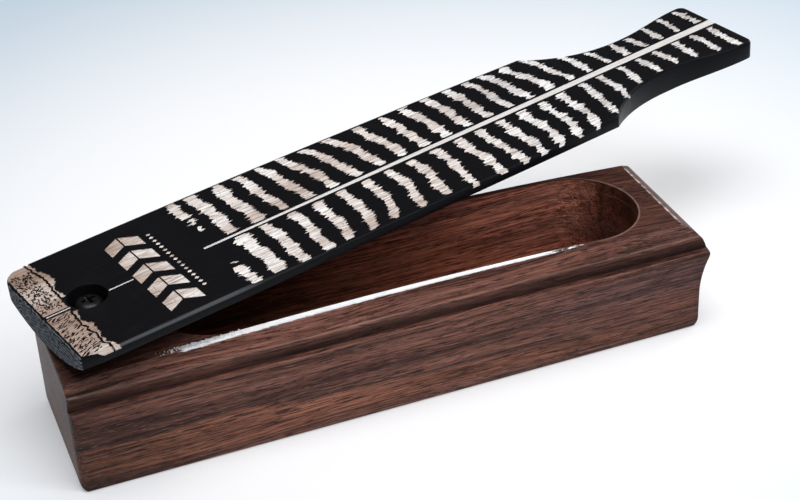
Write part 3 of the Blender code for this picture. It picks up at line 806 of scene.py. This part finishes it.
def arch_lips(obj):
    """Slice the extruded section along its length and bend its crest to the lips' arch."""
    bm = bmesh.new()
    bm.from_mesh(obj.data)
    for i in range(1, CREST_STATIONS):
        geom = bm.verts[:] + bm.edges[:] + bm.faces[:]
        place = BOX_LENGTH * (i / CREST_STATIONS - 0.5) + NOSE_OVERHANG / 2
        bmesh.ops.bisect_plane(bm, geom=geom, plane_co=(place, 0, 0), plane_no=(1, 0, 0))
    for vert in bm.verts:
        if abs(vert.co.z - CREST_HEIGHT) < 1e-6:
            vert.co.z = crest_height(vert.co.x)
            vert.co.y = math.copysign(crest_half(vert.co.x), vert.co.y)
    bmesh.ops.triangulate(bm, faces=bm.faces)
    bm.to_mesh(obj.data)
    bm.free()


def box_side_profile():
    """Side view of the box as (along, up): rounded feet, cove, nose and a top left for the arch."""
    half = BOX_LENGTH / 2
    foot = END_EDGE_RADIUS
    points = arc(half - foot, foot, foot, -90, 0, 10)
    points += arc(half + COVE_RADIUS, COVE_FOOT, COVE_RADIUS, 180, COVE_END, 16)
    crease = math.degrees(math.acos(NOSE_CREASE / NOSE_RADIUS))
    points += arc(*NOSE_CENTRE, NOSE_RADIUS, NOSE_START, crease, 22)
    top = CREST_HEIGHT + PAST
    points += [(points[-1][0], top), (-half + TOP_EDGE_RADIUS, top)]
    edge = TOP_EDGE_RADIUS
    points += arc(-half + edge, crest_height(-half) - edge, edge, 90, 180, 6)
    points += arc(-half + foot, foot, foot, 180, 270, 10)
    return points


def box_plan():
    """Plan of the box, rounded at the pivot end's corners."""
    left = -BOX_LENGTH / 2 + CORNER_RADIUS
    right = BOX_LENGTH / 2 + 2 * PAST
    edge = BOX_WIDTH / 2
    points = [(right, -edge), (right, edge)]
    points += arc(left, edge - CORNER_RADIUS, CORNER_RADIUS, 90, 180, 8)
    points += arc(left, -edge + CORNER_RADIUS, CORNER_RADIUS, 180, 270, 8)
    return points


def chamber_cutter():
    """The sound chamber: a slot with round ends and a filleted floor."""
    height = CREST_HEIGHT - CHAMBER_FLOOR + PAST
    outline = arc(CHAMBER_END_X, 0, CHAMBER_HALF_WIDTH, -90, 90, 56)
    outline += arc(CHAMBER_START_X, 0, CHAMBER_HALF_WIDTH, 90, 270, 40)
    chamber = prism("chamber", outline, height)
    bevel_rim(chamber, -height / 2, CHAMBER_FILLET, 6)
    chamber.data.transform(Matrix.Translation((0, 0, CHAMBER_FLOOR + height / 2)))
    return chamber


def build_box(mat):
    right = half_section()
    section = right + [(-a, b) for a, b in reversed(right)]
    box = prism("sound_box", section, BOX_LENGTH + 4 * PAST, ALONG_X)
    arch_lips(box)
    carve(box, prism("profile", box_side_profile(), 2 * BOX_WIDTH, ALONG_Y), "INTERSECT")
    carve(box, prism("plan", box_plan(), 160 * MM), "INTERSECT")
    carve(box, chamber_cutter())
    axis = Vector((PIVOT.x, 0, 0))
    top = crest_height(PIVOT.x)
    carve(box, post("pocket", POCKET_RADIUS, top - POCKET_DEPTH, top + PAST, 64, axis))
    carve(box, post("pilot", PILOT_RADIUS, PILOT_BOTTOM, top, 40, axis))
    soften(box, ARRIS)
    smooth(box)
    dress(box, mat)
    return box


# ---------------------------------------------------------------- lid

def lid_half(along, side=1):
    """Half the lid's width at a distance from the pivot. Side is -1 on the clipped side."""
    if along <= SHOULDER:
        away = along - WIDEST
        return HALF_WIDTH - SIDE_RADIUS + math.sqrt(SIDE_RADIUS ** 2 - away * away)
    if along <= NECK:
        t = (along - SHOULDER) / (NECK - SHOULDER)
        start = lid_half(SHOULDER)
        return start + (NECK_HALF - start) * (1 - (1 - t) ** NECK_SWEEP)
    t = min(1.0, (along - NECK) / (PIVOT_TO_TIP - TIP_CORNER - NECK))
    tip = TIP_HALF + (TIP_FLARE if side < 0 else 0)
    return NECK_HALF + (tip - NECK_HALF) * t * t * (3 - 2 * t)


def lid_side(side):
    """Outline of one side of the lid as (along, across), from the pivot end to the handle's tip."""
    if side > 0:
        corner = ROUND_CORNER
        half = lid_half(-PIVOT_TO_END + corner)
        points = arc(-PIVOT_TO_END + corner, half - corner, corner, 180, ROUND_CORNER_END, 12)
    else:
        half = lid_half(-PIVOT_TO_END + CLIP)
        points = [(-PIVOT_TO_END, half - CLIP_ACROSS), (-PIVOT_TO_END + CLIP, half)]
    start = points[-1][0]
    tip = PIVOT_TO_TIP - TIP_CORNER
    for first, last, steps in ((start, SHOULDER, 24), (SHOULDER, NECK, 24), (NECK, tip, 16)):
        for i in range(1, steps + 1):
            along = first + (last - first) * i / steps
            points.append((along, lid_half(along, side)))
    points += arc(tip, lid_half(tip, side) - TIP_CORNER, TIP_CORNER, 90, 0, 8)[1:]
    return points


def crown_section():
    """Cross-section of the lid's underside, wider and higher than the lid."""
    half = HALF_WIDTH + PAST
    spread = math.degrees(math.asin(half / CROWN_RADIUS))
    crown = arc(0, CROWN_RADIUS - THICKNESS, CROWN_RADIUS, -90 - spread, -90 + spread, 72)
    return crown + [(half, 2 * THICKNESS), (-half, 2 * THICKNESS)]


def quill_centre(along):
    return (QUILL_ACROSS + QUILL_DRIFT * (along / MM - QUILL_START)) * MM


def quill_half(along):
    return (QUILL_TIP_HALF + QUILL_WIDENING * (along / MM - QUILL_START) / QUILL_RUN) * MM


def floor_height(along, across):
    """Height of the engraving's floor, which follows the chamfer round the lid's edge."""
    edge = lid_half(along, across)
    inside = edge - abs(across)
    return TOP - ENGRAVED - max(0.0, min(CHAMFER * 1.6, CHAMFER - inside))


def strip(bm, stations, material_index):
    """A closed cutter through (left, right, across) stations, in the lid's own space."""
    rows = []
    for left, right, across in stations:
        rows.append((bm.verts.new((left, across, floor_height(left, across))),
                     bm.verts.new((right, across, floor_height(right, across))),
                     bm.verts.new((right, across, TOP + 1 * MM)),
                     bm.verts.new((left, across, TOP + 1 * MM))))
    faces = [bm.faces.new(rows[0]), bm.faces.new(list(reversed(rows[-1])))]
    for a, b in zip(rows, rows[1:]):
        for k in range(4):
            m = (k + 1) % 4
            if k == 0:
                faces.append(bm.faces.new((a[0], b[0], b[1])))
                faces.append(bm.faces.new((a[0], b[1], a[1])))
            else:
                faces.append(bm.faces.new((a[k], b[k], b[m], a[m])))
    for face in faces:
        face.material_index = material_index


def bar_stations(rng, root, side, width, lean, jag, hold, start, stop):
    """Ragged stations of one bar from the quill outwards. Hold makes the raggedness blobby."""
    stations = []
    across = start
    drift_left = 0.0
    drift_right = 0.0
    wave = rng.uniform(0, math.tau)
    long_wave = rng.uniform(15, 26)
    while across < stop:
        t = (across - start) / (24 * MM)
        drift_left = hold * drift_left + rng.gauss(0, jag)
        drift_right = hold * drift_right + rng.gauss(0, jag)
        centre = root - lean * t * t + 0.4 * math.sin(wave + across / MM / long_wave * math.tau) * MM
        fatness = 1 + 0.16 * math.sin(wave * 2 + across / MM / 9.0 * math.tau)
        fatness *= 0.75 + 0.25 * min(1.0, (across - start) / (0.8 * MM), (stop - across) / (2.4 * MM))
        left = centre - width * fatness / 2 + drift_left
        right = centre + width * fatness / 2 + drift_right
        if rng.random() < 0.13:
            left -= rng.uniform(0.3, 1.0) * MM
        if rng.random() < 0.13:
            right += rng.uniform(0.3, 1.0) * MM
        if right - left < 0.5 * MM:
            left, right = centre - 0.25 * MM, centre + 0.25 * MM
        stations.append((left, right, side * across))
        across += rng.uniform(0.2, 0.42) * MM
    return stations


def bars(bm, rng):
    """Rows of ragged bars, thinner and closer towards the handle."""
    for side in (1, -1):
        for i in range(BAR_COUNT):
            root = (FIRST_BAR + BAR_PITCH * i - BAR_CLOSING * i * i + rng.uniform(-0.4, 0.4)) * MM
            if root > HANDLE_FROM * MM:
                width, jag, hold = 2.3, 0.31, 0.3
            elif root > RAGGED_FROM * MM:
                width, jag, hold = 2.95, 0.36, 0.5
            else:
                width, jag, hold = (4.0 if i < 2 else 2.95), 0.34, 0.1
            width = width * MM * rng.uniform(0.9, 1.1)
            lean = (2.1 * (1 - math.cos(math.tau * i / 10)) + rng.uniform(0, 0.8)) * MM
            start = quill_half(root) + rng.uniform(0.7, 1.1) * MM + side * quill_centre(root)
            margin = rng.uniform(-1.3, -0.4)
            if side < 0 and RAGGED_FROM * MM < root <= HANDLE_FROM * MM:
                margin = 0.6
            stop = lid_half(root - lean * 0.8, side) + margin * MM
            strip(bm, bar_stations(rng, root, side, width, lean, jag * MM, hold, start, stop), 0)


def part_bars(bm, rng):
    """Scraps of one more bar on each side, as (side, root, spans), in millimetres."""
    scraps = ((1, 40.2, ((15.4, 25.6), (11.2, 14.6), (6.9, 9.6))),
              (-1, 38.9, ((15.2, 25.9), (12.6, 13.6))))
    for side, root, spans in scraps:
        for start, stop in spans:
            width = 3.1 if start > 15 else 1.5
            stations = bar_stations(
                rng, root * MM, side, width * MM, 0.4 * MM, 0.4 * MM, 0.1, start * MM, stop * MM)
            strip(bm, stations, 0)


def engraving_cutter(wood, line):
    """All of the lid's engraving as one cutter: bars, quill line, end band, chevrons and beads."""
    rng = random.Random(41)
    bm = bmesh.new()
    bars(bm, rng)
    part_bars(bm, rng)
    quill(bm)
    end_band(bm, rng)
    chevrons(bm)
    beads(bm)
    bmesh.ops.recalc_face_normals(bm, faces=bm.faces)
    return finished(bm, "engraving", wood, line)


def slab(bm, corners, material_index=0, bottom=TOP - ENGRAVED, top=TOP + 1 * MM):
    """A flat solid with any outline, given in millimetres: a cutter, unless it says otherwise."""
    low = [bm.verts.new((a * MM, b * MM, bottom)) for a, b in corners]
    high = [bm.verts.new((a * MM, b * MM, top)) for a, b in corners]
    faces = [bm.faces.new(low), bm.faces.new(list(reversed(high)))]
    for i in range(len(corners)):
        j = (i + 1) % len(corners)
        faces.append(bm.faces.new((low[i], low[j], high[j], high[i])))
    for face in faces:
        face.material_index = material_index
    return faces


def quill(bm):
    """The long central line, and two short pieces of it on either side of the screw."""
    steps = 24
    lower = []
    upper = []
    for i in range(steps + 1):
        along = (QUILL_START + (QUILL_END - QUILL_START) * i / steps) * MM
        lower.append((along / MM, (quill_centre(along) - quill_half(along)) / MM))
        upper.append((along / MM, (quill_centre(along) + quill_half(along)) / MM))
    slab(bm, lower + list(reversed(upper)), 1)
    slab(bm, [(-13.2, -1.95), (-5.9, -1.85), (-5.9, -1.35), (-13.2, -1.5)], 1)
    slab(bm, [(5.9, -1.7), (13.7, -1.55), (13.7, -1.1), (5.9, -1.2)], 1)


def end_band(bm, rng):
    """The pale band at the pivot end in two halves, each with a dark crack running across it."""
    for low, high in ((-27.4, -2.5), (-0.85, 27.2)):
        wide = []
        narrow = []
        drift = 0.0
        thin = 0.0
        crack = 0.0
        across = low
        while across <= high:
            drift = 0.6 * drift + rng.gauss(0, 0.22)
            crack = 0.75 * crack + rng.gauss(0, 0.19)
            thin = 0.6 * thin + rng.gauss(0, 0.28)
            bend = END_BAND_CRACK + 0.55 * math.sin(across / 6.5) + crack
            edge = bend + 0.5
            left = END_BAND_EDGE + abs(drift) * 0.5
            wide.append((left * MM, (bend + drift * 0.4 - 0.05) * MM, across * MM))
            right = edge + 1.25 + 0.55 * math.sin(across / 2.3 + 1) + thin
            narrow.append(((edge + 0.1) * MM, max(right, edge + 0.4) * MM, across * MM))
            across += rng.uniform(0.35, 0.6)
        strip(bm, wide, 0)
        for run in runs_clear_of_seat(narrow):
            strip(bm, run, 0)


def runs_clear_of_seat(stations):
    """Stretches of three or more stations that stay out of the screw's counterbore."""
    clear = SEAT_RADIUS + 0.4 * MM
    runs = [[]]
    for station in stations:
        _, right, across = station
        if abs(across) < clear and right > -math.sqrt(clear ** 2 - across ** 2):
            runs.append([])
        else:
            runs[-1].append(station)
    return [run for run in runs if len(run) > 2]


def chevrons(bm):
    """A plain row of chevrons across the lid, each split along the row's middle."""
    for i in range(CHEVRON_COUNT):
        low = CHEVRON_FIRST + CHEVRON_PITCH * i
        slab(bm, [(14.2, low), (19.35, low + 3.0), (19.35, low + 8.1), (14.2, low + 5.1)])
        slab(bm, [(19.8, low + 3.0), (24.9, low), (24.9, low + 5.1), (19.8, low + 8.1)])


def beads(bm):
    """A row of small diamonds beside the chevrons."""
    for i in range(BEAD_COUNT):
        across = BEAD_FIRST + i * BEAD_PITCH
        slab(bm, [(26.6, across), (27.4, across - 0.62), (28.2, across), (27.4, across + 0.62)])


def lacquer_islands(bm, rng, material_index):
    """Flecks of lacquer left standing in the end band: short on one side, long strokes on the other."""
    for _ in range(ISLAND_COUNT):
        along = rng.uniform(-13.2, -7.2)
        across = rng.choice((rng.uniform(-24, -3.2), rng.uniform(0.4, 22), rng.uniform(0.4, 22)))
        near = across < -3
        long = rng.uniform(0.35, 1.0) if near else rng.uniform(0.25, 0.8)
        wide = rng.uniform(0.10, 0.19)
        turn = math.radians(rng.gauss(28 if near else 80, 12 if near else 38))
        c, s = math.cos(turn), math.sin(turn)
        corners = [(-long, 0), (-long * 0.3, -wide), (long, -wide * 0.3), (long * 0.4, wide)]
        corners = [(along + a * c - b * s, across + a * s + b * c) for a, b in corners]
        faces = slab(bm, corners, material_index, TOP - ENGRAVED - 0.02 * MM, TOP - 0.01 * MM)
        bmesh.ops.recalc_face_normals(bm, faces=faces)


def build_lid(lacquer, wood, line):
    """The lid, shaped and engraved in its own space and then put in the box's."""
    outline = [(a, -b) for a, b in lid_side(-1)] + list(reversed(lid_side(1)))
    depth = 3 * THICKNESS
    lid = prism("paddle_lid", outline, depth)
    bevel_rim(lid, depth / 2, CHAMFER, 3)
    lid.data.transform(Matrix.Translation((0, 0, TOP - depth / 2)))
    length = 2 * (PIVOT_TO_TIP + PAST)
    carve(lid, prism("crown", crown_section(), length, ALONG_X, Vector((0, 0, TOP))), "INTERSECT")
    handle = prism("handle", crown_section(), length, ALONG_X, Vector((0, 0, THICKNESS)))
    lift = Matrix.Rotation(math.radians(-HANDLE_LIFT), 4, "Y")
    handle.data.transform(Matrix.Translation((NECK, 0, TOP - THICKNESS)) @ lift)
    carve(lid, handle, "INTERSECT")
    carve(lid, post("seat", SEAT_RADIUS, 0, TOP + PAST))
    carve(lid, post("hole", HOLE_RADIUS, -THICKNESS, 2 * MM, 48))
    soften(lid, LID_ARRIS, angle=LID_ARRIS_ANGLE)
    dress(lid, lacquer, wood, line)
    carve(lid, engraving_cutter(wood, line), transfer=True)
    names = [mat.name for mat in lid.data.materials]
    bm = bmesh.new()
    bm.from_mesh(lid.data)
    lacquer_islands(bm, random.Random(7), names.index(lacquer.name))
    bm.to_mesh(lid.data)
    bm.free()
    lid.data.transform(LID_FRAME)
    smooth(lid)
    return lid


# ---------------------------------------------------------------- screw and chalk crumbs

def screw_profile():
    """(radius, height) from the top of the head to the point, with the thread as turned rings."""
    profile = [(0, HEAD_HEIGHT)]
    for i in range(1, 13):
        t = i / 12 * math.pi / 2
        profile.append((HEAD_RADIUS * math.sin(t) ** DOME_POWER, HEAD_HEIGHT - DOME_DROP * (1 - math.cos(t))))
    profile += [(HEAD_RADIUS, HEAD_EDGE), (HEAD_RADIUS - HEAD_EDGE, 0)]
    profile += [(SCREW_RADIUS, 0), (SCREW_RADIUS, -SHANK_LENGTH)]
    for i in range(THREAD_TURNS):
        top = -THREAD_START - i * THREAD_PITCH
        radii = (THREAD_ROOT, THREAD_ROOT, SCREW_RADIUS, SCREW_RADIUS)
        profile += [(radius, top - down * MM) for radius, down in zip(radii, THREAD_FLATS)]
    return profile + [(THREAD_ROOT, -POINT_START), (0, -SCREW_LENGTH)]


def build_screw(mat):
    """Pan head with a cross recess over a turned thread."""
    screw = turned("screw", screw_profile(), 72)
    above = HEAD_HEIGHT + 3 * MM
    lip = HEAD_HEIGHT - CROSS_LIP
    deep = HEAD_HEIGHT - CROSS_DEPTH
    flat = CROSS_WIDTH / 2
    slot = [(-CROSS_HALF, above), (-CROSS_HALF, lip), (-flat, deep),
            (flat, deep), (CROSS_HALF, lip), (CROSS_HALF, above)]
    for i in range(2):
        turn = Matrix.Rotation(math.radians(CROSS_TURN + 90 * i), 4, "Z") @ ALONG_Y
        carve(screw, prism("slot", slot, CROSS_WIDTH, turn))
    dress(screw, mat)
    smooth(screw)
    screw.location = (PIVOT.x, 0, HEAD_BOTTOM)
    return screw


def build_crumbs(mat):
    """Grains of chalk lying where the chalk line starts and along the lip's crest."""
    rng = random.Random(19)
    bm = bmesh.new()
    for i in range(CRUMB_COUNT):
        start = rng.random() < 0.7
        x = rng.triangular(*CRUMB_START) if start else rng.uniform(*CRUMB_RUN)
        spread = 0.85 if start else 0.5
        y = CRUMB_LINE + rng.uniform(-spread, spread)
        size = rng.uniform(0.09, 0.30) * (1.0 if start else 0.45)
        place = Vector((x, y, crest_height(x * MM) / MM + size * 0.3)) * MM
        grain = bmesh.ops.create_icosphere(bm, subdivisions=1, radius=size * MM)
        for vert in grain["verts"]:
            lump = noise.noise(vert.co * 9000 + Vector((i, 0, 0)))
            vert.co = vert.co * (1 + 0.5 * lump)
            vert.co += place
    return finished(bm, "chalk_crumbs", mat)


def build_floor(mat):
    """A flat floor that runs to the horizon in any view."""
    bm = bmesh.new()
    bmesh.ops.create_grid(bm, x_segments=1, y_segments=1, size=6.0)
    floor = finished(bm, "floor", mat)


def main():
    place_camera()
    light_scene()
    build_floor(floor_material())

    box = build_box(walnut_material())
    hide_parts("box_body")
    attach(box, "box")

    lid = build_lid(lacquer_material(), bare_wood_material(), quill_material())
    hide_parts("lid")
    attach(lid, "lid")

    black = black_steel_material()
    screw = build_screw(black)
    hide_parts("pivot_screw")
    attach(screw, "screw")

    crumbs = build_crumbs(chalk_material())
    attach(crumbs, "box")

    looks = {"head_washer": black, "spring_washer": steel_material("zinc_plate", 0.62, 0.34),
             "pivot_spring": steel_material("spring_wire", 0.5, 0.28)}
    for name, mat in looks.items():
        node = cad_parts[name]
        for slot in node.material_slots:
            slot.material = mat


main()
